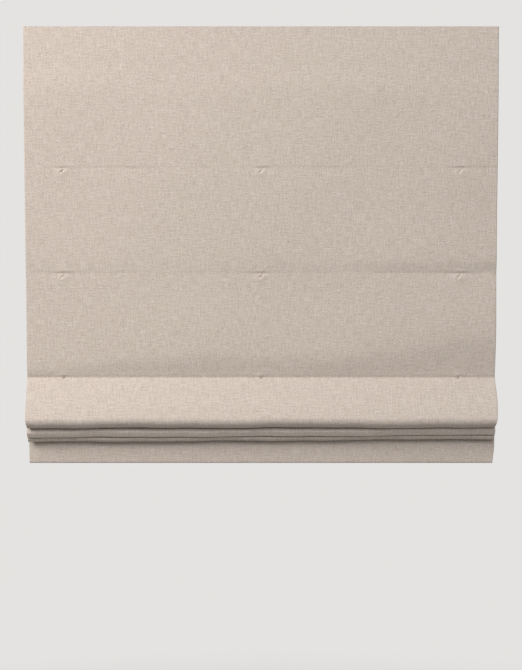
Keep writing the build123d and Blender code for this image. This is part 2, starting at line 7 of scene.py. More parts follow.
import bpy
import numpy as np
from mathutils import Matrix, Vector


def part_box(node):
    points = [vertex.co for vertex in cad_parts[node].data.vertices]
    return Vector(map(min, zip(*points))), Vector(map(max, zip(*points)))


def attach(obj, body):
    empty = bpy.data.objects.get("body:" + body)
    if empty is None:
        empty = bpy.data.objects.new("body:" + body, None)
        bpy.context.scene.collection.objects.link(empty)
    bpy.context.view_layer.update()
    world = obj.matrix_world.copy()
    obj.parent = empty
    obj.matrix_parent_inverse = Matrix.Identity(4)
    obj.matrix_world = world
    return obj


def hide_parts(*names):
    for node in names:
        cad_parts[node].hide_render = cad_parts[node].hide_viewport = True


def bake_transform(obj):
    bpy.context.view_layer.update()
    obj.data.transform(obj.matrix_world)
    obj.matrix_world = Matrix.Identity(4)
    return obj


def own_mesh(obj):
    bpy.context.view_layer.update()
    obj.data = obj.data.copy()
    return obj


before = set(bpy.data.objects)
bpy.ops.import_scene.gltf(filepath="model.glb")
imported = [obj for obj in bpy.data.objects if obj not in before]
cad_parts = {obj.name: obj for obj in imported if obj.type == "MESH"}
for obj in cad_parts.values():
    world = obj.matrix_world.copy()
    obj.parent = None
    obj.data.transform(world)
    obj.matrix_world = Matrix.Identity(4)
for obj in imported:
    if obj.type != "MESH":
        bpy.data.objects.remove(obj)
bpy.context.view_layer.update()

MM = 0.001

# The sewing line between the face cloth and its lining, from the head down: each corner's y and z, and the
# radius that rounds it. It follows the solids' line, but its three loops are shaped a few millimetres off it.
SEWING_LINE = np.array(
    [
        # The head on its strip, and the flat cloth down to the fold
        (-32.08, -0.5, 0),
        (-32.08, -64.0, 60),
        (-8.0, -678.0, 4),
        # The front loop, which hangs like a drop
        (-42.6, -763.0, 12),
        (-22.6, -773.5, 2),
        (-21.0, -728.0, 45),
        # The first tuck
        (-9.45, -689.0, 1.81),
        (-5.5, -689.0, 1.81),
        # The second loop, drawn in behind the first and full at its foot
        (-14.5, -728.0, 45),
        (-13.5, -768.0, 6),
        (-20.5, -779.0, 5),
        (-12.0, -791.6, 1.4),
        (-11.0, -728.0, 45),
        # The second tuck
        (-6.95, -702.0, 1.85),
        (-3.0, -702.0, 1.85),
        # The third loop, drawn in behind the second and full at its foot
        (-6.5, -728.0, 45),
        (-4.2, -786.5, 5),
        (-9.6, -795.0, 3.5),
        (-1.3, -802.2, 1.5),
        (-0.5, -728.0, 45),
        # The third tuck
        (-1.45, -715.0, 1.89),
        (2.5, -715.0, 1.89),
        # The hem, turned up behind
        (12.0, -847.0, 2.2),
        (16.6, -847.0, 2.2),
        (13.01, -797.13, 0),
    ]
)
# Runs between corners, counted from the head: the underside of each loop, and the top of each tuck
LOOP_RUNS = (3, 10, 17)
TUCK_RUNS = (6, 13, 20)

# The height of the lining's lower end
LINING_END_Z = -792.54

# The gap from the sewing line to each layer, the layers' thickness, how much further out the back of the face
# cloth stands at its side hems, and how far a side edge reaches out past the last point of its front
SEW_GAP = 0.075
FACE_T = 1.2
LINING_T = 0.5
HEM_EDGE = 0.42
SIDE_BEND = 0.4

# How far each row's crease lies above it, and its knots below it. The third row is at the fold.
CREASE_ABOVE = 1.5
KNOT_BELOW = (4.5, 4.5, 0.5)

# A rod pocket's outside and its bore
POCKET_R = 2.8
POCKET_BORE_R = 2.3

# The y and z where each tape leaves its coil and where its clip holds it
TAPE_TOP = (-16.489, -36.514)
TAPE_FOOT = (12.989, -724.49)
TAPE_WIDTH = 6.0
TAPE_T = 0.5

# The coil's turns lie 0.54 mm apart, and the tape in it is drawn thinner so that they don't touch
COIL_T = 0.44
COIL_TURNS = 6.5
COIL_INNER_R = 8.5
COIL_OUTER_R = 12.0


def half_width_of(node):
    """Half the width of a solid that is centred on the blind, in millimetres."""
    return round(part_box(node)[1][0] / MM, 3)


def middle_of(node):
    """The middle of a solid, in millimetres."""
    low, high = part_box(node)
    return [round(float(v) / MM, 3) for v in (low + high) / 2]


HEAD_Z = round(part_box("headrail")[0][2] / MM, 3)
HALF_WIDTH = half_width_of("face_cloth")
LINING_HALF = half_width_of("lining")
SIDES = ("left", "centre", "right")
COLUMNS = tuple(middle_of(f"lift_tape_{side}")[0] for side in SIDES)
RODS = tuple(middle_of(f"row_rod_{number}")[1:] for number in range(1, 7))
SHAFT = middle_of("lift_shaft")[1:]


# Lines and grids

LINE_POINTS = 80001


def follow(corners, radii):
    """The line through corners with each bend rounded, as distance, y, z and heading, with where each run
    starts and ends. The heading is constant along a run and turns evenly along a bend. y and z are the
    running sums of its cosine and sine, times the step."""
    run = np.diff(corners, axis=0)
    heading = np.unwrap(np.arctan2(run[:, 1], run[:, 0]))
    turn = np.abs(np.diff(heading))
    cut = radii * np.tan(turn / 2)
    lengths = np.zeros(2 * len(run) - 1)
    lengths[0::2] = np.hypot(run[:, 0], run[:, 1]) - np.append(cut, 0) - np.insert(cut, 0, 0)
    lengths[1::2] = radii * turn
    ends = np.insert(np.cumsum(lengths), 0, 0)
    s = np.linspace(0, ends[-1], LINE_POINTS)
    angle = np.interp(s, ends, np.repeat(heading, 2))
    step = s[1] - s[0]
    middle = (angle[1:] + angle[:-1]) / 2
    y = corners[0, 0] + np.insert(np.cumsum(np.cos(middle)), 0, 0) * step
    z = corners[0, 1] + np.insert(np.cumsum(np.sin(middle)), 0, 0) * step
    return s, y, z, angle, ends.reshape(-1, 2)


LINE_S, LINE_Y, LINE_Z, LINE_ANGLE, RUN_ENDS = follow(SEWING_LINE[:, :2], SEWING_LINE[1:-1, 2])
RUN_MIDDLE = RUN_ENDS.mean(axis=1)
# Two parts of the line that only fall: the head to the fold, and the third tuck to the foot of the hem
FLAT_PART = LINE_S < RUN_ENDS[2, 0]
SKIRT_PART = (LINE_S > RUN_MIDDLE[TUCK_RUNS[2]]) & (LINE_S < RUN_MIDDLE[TUCK_RUNS[2] + 2])


def at_height(z, part):
    """The distance down the cloth at a height, within a part of the line that only falls."""
    return float(np.interp(-z, -LINE_Z[part], LINE_S[part]))


# Distances down the cloth: the head's foot, the fold, the rows, the loops' feet, the tucks' tops and the ends
HEAD_END = at_height(HEAD_Z, FLAT_PART)
FOLD = (RUN_ENDS[1, 1] + RUN_ENDS[2, 0]) / 2
ROW_S = (at_height(RODS[0][1], FLAT_PART), at_height(RODS[1][1], FLAT_PART), FOLD)
LOOP_S = tuple(RUN_MIDDLE[run] for run in LOOP_RUNS)
TUCK_S = tuple(RUN_MIDDLE[run] for run in TUCK_RUNS)
LINING_END = at_height(LINING_END_Z, SKIRT_PART)
CLOTH_END = float(LINE_S[-1])


def ease(t):
    """Nothing below 0, all above 1, and 3t^2 - 2t^3 between."""
    t = np.clip(t, 0, 1)
    return t * t * (3 - 2 * t)


def eased_table(x, places, values):
    """Values given at places, joined by eased steps, so that the curve has no corner."""
    places, values = np.asarray(places, float), np.asarray(values, float)
    i = np.clip(np.searchsorted(places, x, side="right") - 1, 0, len(places) - 2)
    share = ease((x - places[i]) / (places[i + 1] - places[i]))
    return values[i] + (values[i + 1] - values[i]) * share


def hump(distance, width):
    """A bell of height 1: e to the minus (distance / width) squared."""
    return np.exp(-((distance / width) ** 2))


def notch(distance, sharp, soft):
    """A bell of height 1, of width sharp where the distance is negative and soft where it is positive."""
    return hump(distance, np.where(distance < 0, sharp, soft))


def ripple(x, *waves):
    """A sum of sines, each given as length, height and phase."""
    return sum(height * np.sin(2 * np.pi * x / length + phase) for length, height, phase in waves)


def spread(places, density):
    """Stations along a line whose spacing is one over the density there."""
    cost = np.insert(np.cumsum((density[1:] + density[:-1]) / 2 * np.diff(places)), 0, 0)
    return np.interp(np.linspace(0, cost[-1], int(np.ceil(cost[-1])) + 1), cost, places)


# How the cloth departs from its line: it swells forwards, its edges stray and its loops droop

# Between its rows the cloth swells forwards, and at each row it is drawn in by a crease
SWELL = 1.3
CREASE_SHARP, CREASE_SOFT = 3.0, 12.0
CREASE_AT_FOLD = 0.6
CREASE_MEAN, CREASE_LEAST = 0.24, 0.04

# Round each knot the cloth puffs out, less at the fold than at the other rows, and dimples at the knot itself
PUFF_HEIGHT = (2.0, 2.0, 1.4)
PUFF_R = 11
DIMPLE_WIDTH, DIMPLE_LENGTH = 3.2, 7.0
DIMPLE_DEPTH = 0.97

# The roll above the fold, at places across the blind: how far above the fold its top is, and its height there
ROLL_X = (-457, -383, -329, -247, -119, 0, 134, 270, 377, 457)
ROLL_REACH = (16, 18, 32, 44, 50, 48, 45, 60, 84, 88)
ROLL_HEIGHT = (1.3, 1.1, 1.9, 3.2, 4.4, 4.4, 4.4, 5.4, 7.2, 7.6)
ROLL_FADE = 150

# The lower roll above the second row
LIFT_X = (-457, -200, 100, 300, 457)
LIFT_REACH = 26
LIFT_HEIGHT = (0.8, 0.5, 1.0, 2.4, 3.6)
LIFT_FADE = 110

# The side edges stray only in the outer stretch of the cloth, from this far out and over this width
EDGE_FROM, EDGE_WIDTH = 330, 120
BELLY_OUT, FOOT_IN, HEM_OUT = 2.6, 1.6, 3.0

# For each loop, places across the blind, and how far its foot lies above its line there, or below if negative
LOOP_FEET = (
    ((-457, 0, 457), (-1.8, -0.6, -1.2)),
    ((-457, -60, 457), (-5.2, -3.2, -0.2)),
    ((-457, 0, 200, 457), (-2.8, -0.8, 1.2, 3.0)),
)


def row_crease(x, number):
    """How deep a row's crease is, as a share of the swelling. It comes and goes across the blind by a sum of
    sines, and is deeper at each column and, in the second row, towards the right."""
    waves = ripple(x, (340, 0.17, 1.9 * number), (127, 0.13, 0.7 + number), (61, 0.09, 2.6 * number))
    right = 0.3 * ease((x - 300) / 60) * (number == 1)
    knots = sum(hump(x - column, 13) for column in COLUMNS)
    return np.clip(CREASE_MEAN + waves + right + 0.45 * knots, CREASE_LEAST, 1.0)


def roll_above(row, s, height, reach, fade):
    """A roll that rises by an eased step to its height over its reach above a row, and falls away by another
    over the next stretch up."""
    above = row - s
    return height * ease(above / reach) * (1 - ease((above - reach) / fade)) * (above > 0)


def swell(x, s):
    """How far the cloth stands in front of its line. It swells between the head and the front loop, times
    one minus each crease, plus a puff round each knot, times one minus the knot's slanting dimple. Added to
    that are the rolls above the second row and the fold, and slow waves across the flat cloth."""
    out = SWELL * ease((s - HEAD_END) / 70) * (1 - ease((s - FOLD - 60) / 30))
    for number, row in enumerate(ROW_S):
        from_crease = s - (row - CREASE_ABOVE)
        depth = row_crease(x, number) if number < 2 else CREASE_AT_FOLD
        out = out * (1 - depth * notch(from_crease, CREASE_SHARP, CREASE_SOFT))
        parted = PUFF_HEIGHT[number] * (1 - 0.85 * notch(from_crease, 2.2, 5.0))
        down = s - (row + KNOT_BELOW[number])
        for column in COLUMNS:
            across = x - column
            puff = parted * hump(across, PUFF_R) * hump(down, PUFF_R)
            dimple = hump(across + down, DIMPLE_WIDTH) * hump(across - down, DIMPLE_LENGTH)
            out = (out + puff) * (1 - DIMPLE_DEPTH * dimple)
    reach, height = eased_table(x, ROLL_X, ROLL_REACH), eased_table(x, ROLL_X, ROLL_HEIGHT)
    roll = roll_above(FOLD, s, height, reach, ROLL_FADE)
    roll = roll + roll_above(ROW_S[1], s, eased_table(x, LIFT_X, LIFT_HEIGHT), LIFT_REACH, LIFT_FADE)
    waves = ripple(x + 0.6 * s, (520, 0.55, 0.4), (290, 0.3, 2.2)) + ripple(x - 1.7 * s, (610, 0.4, 1.1))
    flat = ease((s - HEAD_END) / 60) * (1 - ease((s - FOLD + 30) / 30))
    return out + roll + flat * (SWELL + waves)


def sewn_to_pockets(s):
    """The lining's share of the swelling: one, less a bell at each of the first three rows, where a rod
    pocket is sewn to it."""
    share = 1.0
    for row in ROW_S:
        share = share * (1 - hump(s - row, 9))
    return share


def sidle(x, s):
    """How far the cloth's side edges stray to the right. At the right the front loop bellies out by a power
    of a sine, and the hem stands out by an eased step. At both sides the front loop's foot draws in."""
    right, left = ease((x - EDGE_FROM) / EDGE_WIDTH), ease((-EDGE_FROM - x) / EDGE_WIDTH)
    front = np.clip((s - FOLD) / (LOOP_S[0] - FOLD), 0, 1)
    back = np.clip((s - LOOP_S[0]) / (TUCK_S[0] - LOOP_S[0]), 0, 1)
    belly = BELLY_OUT * np.sin(np.pi * front) ** 1.3
    foot = FOOT_IN * ease((front - 0.75) / 0.25) * (1 - ease(back / 0.3))
    hem = HEM_OUT * ease((s - TUCK_S[2]) / 90) * (1 - ease((s - TUCK_S[2] - 100) / 35))
    return right * (belly - foot + hem) + left * foot


def droop(x, s):
    """How far a loop lies above its line: its foot is lower at one end and wavers a little across the blind,
    and this dies away to nothing at the loop's two tops, by the square of a sine."""
    starts = (FOLD, TUCK_S[0], TUCK_S[1])
    total = 0.0
    for i, (places, heights) in enumerate(LOOP_FEET):
        share = np.clip((s - starts[i]) / (TUCK_S[i] - starts[i]), 0, 1)
        waver = ripple(x, (330, 0.7, 1.3 * i), (150, 0.4, 2.1 * i + 0.4), (83, 0.2, 0.9 * i))
        total = total + (eased_table(x, places, heights) + waver) * np.sin(np.pi * share) ** 2
    return total


# Meshes


def make_piece(name, points, faces, uv=None, flat_angle=80):
    """A mesh piece from points in millimetres, with smooth faces, and sharp edges where two faces meet at
    more than an angle in degrees."""
    mesh = bpy.data.meshes.new(name)
    mesh.from_pydata(np.asarray(points, float) * MM, [], faces)
    mesh.shade_smooth()
    mesh.set_sharp_from_angle(angle=np.radians(flat_angle))
    if uv is not None:
        corner = np.zeros(len(mesh.loops), np.int32)
        mesh.loops.foreach_get("vertex_index", corner)
        layer = mesh.uv_layers.new(name="cloth")
        layer.data.foreach_set("uv", (np.asarray(uv, float)[corner] * MM).astype(np.float32).ravel())
    mesh.validate()
    mesh.update()
    piece = bpy.data.objects.new(name, mesh)
    bpy.context.scene.collection.objects.link(piece)
    return piece


def ring_faces(rows, around):
    """Faces of a tube made of rows, each a ring of around points, and the two caps that close it. A cap
    joins each point of the ring's first half to the one opposite."""
    i, j = np.meshgrid(np.arange(rows - 1), np.arange(around), indexing="ij")
    k = (j + 1) % around
    sides = np.stack([i * around + j, (i + 1) * around + j, (i + 1) * around + k, i * around + k], -1)
    half = around // 2 - 1
    a = np.arange(half - 1)
    first = np.stack([a, a + 1, 2 * half - a - 1, 2 * half - a], -1)
    tips = np.array([[around - 1, 0, 2 * half], [half - 1, half, half + 1]])
    last = (rows - 1) * around
    faces = sides.reshape(-1, 4).tolist() + first.tolist() + tips.tolist()
    return faces + (first[:, ::-1] + last).tolist() + (tips[:, ::-1] + last).tolist()


# A cloth grid's widest steps down and across, the most that its line turns in a step, and how many points
# across the cloth its places are picked from
STEP_DOWN = 4.0
STEP_ACROSS = 8.0
STEP_TURN = np.radians(11)
WIDTH_POINTS = 4001


def grid_down(start, stop):
    """Distances down a length of cloth, closer where its line turns and near the rows."""
    part = (LINE_S >= start) & (LINE_S <= stop)
    places = LINE_S[part]
    turning = np.abs(np.gradient(LINE_ANGLE[part], places))
    near_rows = sum(hump(places - row, 9) for row in ROW_S)
    s = spread(places, 1 / STEP_DOWN + turning / STEP_TURN + near_rows)
    s[0], s[-1] = start, stop
    return s


def grid_across(half_width, knotted):
    """Places across the cloth, closer at its side edges and, where it is knotted, at each column."""
    places = np.linspace(-half_width + SIDE_BEND, half_width - SIDE_BEND, WIDTH_POINTS)
    knots = knotted * sum(hump(places - column, 12) for column in COLUMNS)
    edges = hump(half_width - np.abs(places), 14)
    return spread(places, 1 / STEP_ACROSS + 1.1 * knots + 0.5 * edges)


def cloth_piece(name, start, stop, layer):
    """A length of cloth between two distances down it: point = line(s) + square(s) * (offset - swell(x, s)),
    raised by droop(x, s) and moved across by sidle(x, s). Its front is at the layer's near offset and its
    back at the far one. The back's offset grows by hem_edge, by an eased step, just outside the lining's
    side edges."""
    half_width, near, far, hem_edge = layer["half_width"], layer["near"], layer["far"], layer["hem_edge"]
    s = grid_down(start, stop)
    x = grid_across(half_width, any(start <= row <= stop for row in ROW_S))
    X, S = np.meshgrid(x, s)
    y, z, angle = (np.interp(S, LINE_S, values) for values in (LINE_Y, LINE_Z, LINE_ANGLE))
    square_y, square_z = -np.sin(angle), np.cos(angle)
    out = -swell(X, S) * layer["share"](S)
    up, aside = droop(X, S), sidle(X, S)

    def surface(offset):
        stand = offset + out
        return np.stack([X + aside, y + square_y * stand, z + square_z * stand + up], -1)

    def edge(side, offset):
        points = surface(offset)[:, [0 if side < 0 else -1]].copy()
        points[..., 0] += side * SIDE_BEND
        return points

    hem = hem_edge * ease((np.abs(X) - LINING_HALF - 0.3) / 1.4)
    middle = (near + far + hem_edge) / 2
    ring = [surface(near), edge(1, middle), surface(far + hem)[:, ::-1], edge(-1, middle)]
    points = np.concatenate(ring, axis=1)
    rows, around = points.shape[:2]
    distance = np.broadcast_to(s[:, None], (rows, around))
    uv = np.stack([points[..., 0], -distance], -1)
    return make_piece(name, points.reshape(-1, 3), ring_faces(rows, around), uv.reshape(-1, 2))


def band(name, path, width, thickness, x_middle):
    """A flat woven band carried along a path of y and z points, as a closed strip: its skin stands half a
    thickness square to the path on each side, and comes to an edge at its two sides."""
    path = np.asarray(path, float)
    along = np.gradient(path, axis=0)
    along /= np.hypot(along[:, 0], along[:, 1])[:, None]
    normal = np.stack([-along[:, 1], along[:, 0]], -1)
    x = np.array([-0.5, -0.25, 0.0, 0.25, 0.5]) * (width - 0.3)
    tips = 0.5 * width

    def strip(values, offset):
        places = path[:, None, :] + normal[:, None, :] * offset
        places = np.broadcast_to(places, (len(path), len(values), 2))
        middles = np.broadcast_to(np.asarray(values)[None, :, None] + x_middle, places.shape[:2] + (1,))
        return np.concatenate([middles, places], -1)

    ring = [strip(x, -thickness / 2), strip([tips], 0.0), strip(x[::-1], thickness / 2), strip([-tips], 0.0)]
    points = np.concatenate(ring, axis=1)
    rows, around = points.shape[:2]
    length = np.insert(np.cumsum(np.hypot(*np.diff(path, axis=0).T)), 0, 0)
    uv = np.stack([points[..., 0] - x_middle, np.broadcast_to(-length[:, None], (rows, around))], -1)
    return make_piece(name, points.reshape(-1, 3), ring_faces(rows, around), uv.reshape(-1, 2))


def closed_tube(centres, radius, sides):
    """A tube round a closed line of points: ring = centre + radius * (cos * side + sin * up), with side and
    up square to the line and to each other."""
    centres = np.asarray(centres, float)
    along = np.roll(centres, -1, axis=0) - np.roll(centres, 1, axis=0)
    along /= np.linalg.norm(along, axis=1)[:, None]
    helper = np.where(np.abs(along[:, [0]]) < 0.9, [[1.0, 0.0, 0.0]], [[0.0, 0.0, 1.0]])
    side = np.cross(along, helper)
    side /= np.linalg.norm(side, axis=1)[:, None]
    up = np.cross(along, side)
    turn = np.linspace(0, 2 * np.pi, sides, endpoint=False)
    ring = np.cos(turn)[None, :, None] * side[:, None] + np.sin(turn)[None, :, None] * up[:, None]
    points = centres[:, None] + ring * radius
    i, j = np.meshgrid(np.arange(len(centres)), np.arange(sides), indexing="ij")
    n, k = (i + 1) % len(centres), (j + 1) % sides
    faces = np.stack([i * sides + j, i * sides + k, n * sides + k, n * sides + j], -1)
    return points.reshape(-1, 3), faces.reshape(-1, 4)


def gather(name, parts):
    """One piece from several sets of points and faces."""
    points, faces, count = [], [], 0
    for part_points, part_faces in parts:
        points.append(part_points)
        faces += (np.asarray(part_faces) + count).tolist()
        count += len(part_points)
    return make_piece(name, np.concatenate(points), faces)


# Materials


def linear(code):
    """An sRGB hex colour as linear red, green, blue and alpha."""
    value = np.array([int(code[i : i + 2], 16) for i in (1, 3, 5)]) / 255
    value = np.where(value <= 0.04045, value / 12.92, ((value + 0.055) / 1.055) ** 2.4)
    return (*[float(v) for v in value], 1.0)


def add(tree, kind, inputs, output=0, **settings):
    """Adds one node with its properties. Each input is given a value or linked to a socket. Returns one of
    its outputs, or all of them where output is None. A map range's inputs 1 to 4 are the two ends that it
    takes and the two that it gives, and a colour mix's inputs 6 and 7 and output 2 are its colours."""
    node = tree.nodes.new(f"ShaderNode{kind}")
    for key, value in settings.items():
        setattr(node, key, value)
    for key, value in inputs.items():
        if isinstance(value, bpy.types.NodeSocket):
            tree.links.new(value, node.inputs[key])
        else:
            node.inputs[key].default_value = value
    return node.outputs if output is None else node.outputs[output]


def new_tree(name):
    """An empty material and its tree."""
    material = bpy.data.materials.new(name)
    material.use_nodes = True
    material.node_tree.nodes.clear()
    return material, material.node_tree


def pattern(tree, per_metre, detail=2.0, roughness=0.5, cloth=False):
    """Noise with so many features to the metre along each axis, laid on the cloth's own coordinates or,
    where cloth is False, through the room."""
    if cloth:
        place = add(tree, "UVMap", {}, uv_map="cloth")
    else:
        place = add(tree, "TexCoord", {}, output="Object")
    place = add(tree, "Mapping", {"Vector": place, "Scale": per_metre})
    return add(tree, "TexNoise", {"Vector": place, "Scale": 1.0, "Detail": detail, "Roughness": roughness})


def mix_of(tree, weighted):
    """The sum of patterns, each times its weight."""
    total = 0.0
    for value, weight in weighted:
        total = add(tree, "Math", {0: value, 1: weight, 2: total}, operation="MULTIPLY_ADD")
    return total


def tone(tree, value, low, high, first, second, most=1.0):
    """The first colour where a pattern is below low, going over at high to the second, or to a mix with as
    much of the second as most."""
    share = add(tree, "MapRange", {0: value, 1: low, 2: high, 3: 0.0, 4: most})
    first, second = (linear(colour) if isinstance(colour, str) else colour for colour in (first, second))
    return add(tree, "Mix", {0: share, 6: first, 7: second}, output=2, data_type="RGBA")


def finish(material, tree, colour, roughness, height, depth, strength=0.5, **shader):
    """Gives a material its surface, with the relief of a height pattern that is depth metres deep."""
    normal = add(tree, "Bump", {"Height": height, "Strength": strength, "Distance": depth})
    sockets = {"Base Color": colour, "Roughness": roughness, "Normal": normal}
    sockets.update({key.replace("_", " "): value for key, value in shader.items()})
    add(tree, "OutputMaterial", {"Surface": add(tree, "BsdfPrincipled", sockets)}, output=None)
    return material


def woven_linen():
    """Flax woven plain from uneven yarns. Its threads, 0.7 mm apart, are drawn 1 to 2 mm apart so that they
    show, with slubs 20 to 50 mm long both ways and short brown flecks of straw. It gives the eye a dry,
    matt, grainy oatmeal cloth."""
    material, tree = new_tree("plain woven linen")
    weft = pattern(tree, (50, 420, 1), 3.0, 0.6, cloth=True)
    warp = pattern(tree, (420, 45, 1), 3.0, 0.6, cloth=True)
    grain = pattern(tree, (440, 440, 1), 2.0, 0.8, cloth=True)
    slubs_across = pattern(tree, (22, 330, 1), 1.0, cloth=True)
    slubs_along = pattern(tree, (330, 20, 1), 1.0, cloth=True)
    specks = pattern(tree, (260, 330, 1), 2.0, 0.6, cloth=True)
    blotches = pattern(tree, (55, 55, 1), 3.0, 0.6, cloth=True)
    threads = mix_of(tree, ((weft, 0.25), (warp, 0.23), (grain, 0.52)))
    slubs = mix_of(tree, ((slubs_across, 0.5), (slubs_along, 0.5)))
    colour = tone(tree, threads, 0.4, 0.6, "#B8AA9E", "#E0D4CB")
    colour = tone(tree, blotches, 0.42, 0.6, colour, "#CFC5B4", 0.3)
    colour = tone(tree, slubs, 0.58, 0.72, colour, "#E0D5CA", 0.45)
    colour = tone(tree, specks, 0.64, 0.72, colour, "#94795F", 0.55)
    relief = mix_of(tree, ((threads, 1.0), (slubs, 0.5)))
    shine = {"Sheen_Weight": 0.1, "Sheen_Roughness": 0.5, "Specular_IOR_Level": 0.25}
    return finish(material, tree, colour, 0.9, relief, 0.0006, **shine)


def woven_cotton():
    """Plain woven cotton lining: fine even threads, drawn at 1.5 mm so that they show. It gives a smooth,
    matt ivory cloth."""
    material, tree = new_tree("plain woven cotton")
    weft = pattern(tree, (90, 700, 1), cloth=True)
    warp = pattern(tree, (700, 90, 1), cloth=True)
    soft = pattern(tree, (9, 9, 1), cloth=True)
    threads = mix_of(tree, ((weft, 0.5), (warp, 0.5)))
    colour = tone(tree, threads, 0.38, 0.62, "#E3DED3", "#F1EEE7")
    colour = tone(tree, soft, 0.3, 0.7, colour, "#E2DCD0", 0.25)
    return finish(material, tree, colour, 0.92, threads, 0.0004, Sheen_Weight=0.08, Specular_IOR_Level=0.2)


def herringbone_tape():
    """Polyester lift tape in a 1.5 mm herringbone: ribs that slant both ways from the tape's middle line. It
    gives a flat, faintly shiny white tape."""
    material, tree = new_tree("herringbone woven polyester")
    place = add(tree, "SeparateXYZ", {0: add(tree, "UVMap", {}, uv_map="cloth")}, output=None)
    across = add(tree, "Math", {0: place[0]}, operation="ABSOLUTE")
    slant = add(tree, "Math", {0: across, 1: 0.8, 2: place[1]}, operation="MULTIPLY_ADD")
    phase = add(tree, "Math", {0: slant, 1: 2 * np.pi / (1.5 * MM)}, operation="MULTIPLY")
    rib = add(tree, "Math", {0: phase}, operation="SINE")
    colour = tone(tree, rib, -1.0, 1.0, "#CFCCC2", "#F0EEE8")
    return finish(material, tree, colour, 0.7, rib, 0.00015, Sheen_Weight=0.1, Specular_IOR_Level=0.35)


def speckled(name, shade, colour, per_metre, roughness, depth, **shader):
    """A material whose tone and relief follow one fine pattern."""
    material, tree = new_tree(name)
    fine = pattern(tree, per_metre, 3.0, 0.6)
    tint = tone(tree, fine, 0.35, 0.65, shade, colour)
    return finish(material, tree, tint, roughness, fine, depth, **shader)


def scuffed(name, colour, shade, low, high, lines, fine, depth, **shader):
    """A hard finish: its tone and roughness follow long scuffs or drawing lines, and its relief a finer
    pattern."""
    material, tree = new_tree(name)
    scuffs = pattern(tree, lines, 4.0, 0.6)
    gloss = add(tree, "MapRange", {0: scuffs, 1: 0.3, 2: 0.7, 3: low, 4: high})
    tint = tone(tree, scuffs, 0.35, 0.75, colour, shade)
    return finish(material, tree, tint, gloss, pattern(tree, fine, 1.0), depth, strength=0.2, **shader)


# Features to the metre: drawing lines 125 mm long and 1.1 mm apart, and an even cloud of 4 mm
ALONG_X = (8.0, 900.0, 900.0)
EVEN = (250.0, 250.0, 250.0)

linen = woven_linen()
lining_cotton = woven_cotton()
lift_tape_weave = herringbone_tape()
# Two plies of spun polyester, 0.4 mm thick, twisted every 0.8 mm: matt with a faint twist
thread = speckled(
    "spun polyester thread", "#A4957F", "#D8CCBE", (1300.0,) * 3, 0.75, 0.0002, Specular_IOR_Level=0.3
)
# A ground of knitted nylon with hooks or loops about 1 mm apart: a soft napped strip
nap = speckled("napped nylon strip", "#C9C6BC", "#ECEAE4", (900.0,) * 3, 0.85, 0.0008, Sheen_Weight=0.3)
# Roll-formed steel under baked enamel: smooth, a little glossy, with a 2 mm orange peel
enamel = scuffed(
    "baked white enamel", "#EDECE8", "#DEDCD6", 0.3, 0.5, (6.0, 60.0, 60.0), (450.0,) * 3, 0.0002
)
# Steel rod drawn through a die and spring strip rolled: bright, with fine lines along its length
bright_steel = scuffed(
    "bright drawn steel", "#B9BABC", "#95979A", 0.25, 0.45, ALONG_X, ALONG_X, 0.0001, Metallic=1.0
)
# Pressed steel with zinc plate: pale, a little cloudy
zinc_plate = scuffed(
    "zinc-plated pressed steel", "#C3C6C9", "#A0A4A8", 0.3, 0.5, EVEN, EVEN, 0.0001, Metallic=1.0
)
# Flat bar as it leaves the rolls: soft grey with lines along its length
mill_aluminium = scuffed(
    "mill-finish aluminium", "#D6D8DA", "#B9BBBE", 0.35, 0.5, ALONG_X, ALONG_X, 0.0001, Metallic=1.0
)
# Glass fibres drawn through resin: off-white with fine lines along the rod
glass_fibre = scuffed("pultruded glass fibre", "#E8E7D8", "#D0CEB9", 0.4, 0.55, ALONG_X, ALONG_X, 0.0001)
# Injection-moulded acetal: smooth white with a satin, finely grained skin from the mould
acetal = scuffed("moulded white acetal", "#EDECE8", "#DFDDD6", 0.35, 0.45, (40.0,) * 3, (1500.0,) * 3, 0.0001)
# Injection-moulded acrylic: clear, slightly milky in the thick parts, with the refraction of acrylic
CLEAR = {"Transmission_Weight": 0.6, "IOR": 1.49}
acrylic = scuffed(
    "clear moulded acrylic", "#F4F6F5", "#E3E8E6", 0.12, 0.25, (300.0,) * 3, (900.0,) * 3, 0.0001, **CLEAR
)


# Camera: straight in front of the blind, a little below its middle, and tilted slightly down

LENS = 73.6
CAMERA_PLACE = (0.0, -2.683, -0.494)
CAMERA_TILT = np.radians(2.15)

camera_data = bpy.data.cameras.new("camera")
camera_data.lens = LENS
camera = bpy.data.objects.new("camera", camera_data)
bpy.context.scene.collection.objects.link(camera)
camera.location = CAMERA_PLACE
camera.rotation_euler = (np.pi / 2 - CAMERA_TILT, 0.0, 0.0)
camera_data.clip_start, camera_data.clip_end = 0.05, 50
bpy.context.scene.camera = camera


# Face cloth and lining

# Each layer's front and back lie near and far from the sewing line. Its share is how much of the swelling it
# follows, and its foot is the name, the end and the hold of its last length.
LAYERS = {
    "face": {
        "material": linen,
        "slot": "linen",
        "node": "face_cloth",
        "half_width": HALF_WIDTH,
        "near": -SEW_GAP - FACE_T,
        "far": -SEW_GAP,
        "hem_edge": HEM_EDGE,
        "share": lambda s: 1.0,
        "foot": ("hem", CLOTH_END, "folded"),
    },
    "lining": {
        "material": lining_cotton,
        "slot": "lining_cotton",
        "node": "lining",
        "half_width": LINING_HALF,
        "near": SEW_GAP,
        "far": SEW_GAP + LINING_T,
        "hem_edge": 0.0,
        "share": sewn_to_pockets,
        "foot": ("skirt", LINING_END, "hung"),
    },
}
# The bodies that the flat panels hang from
PANEL_BODIES = ("headrail_body", "row_1", "row_2")


def dress(piece, material, node):
    """Gives a piece its material and hides the solid it stands for."""
    piece.data.materials.append(material)
    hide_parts(node)
    return piece


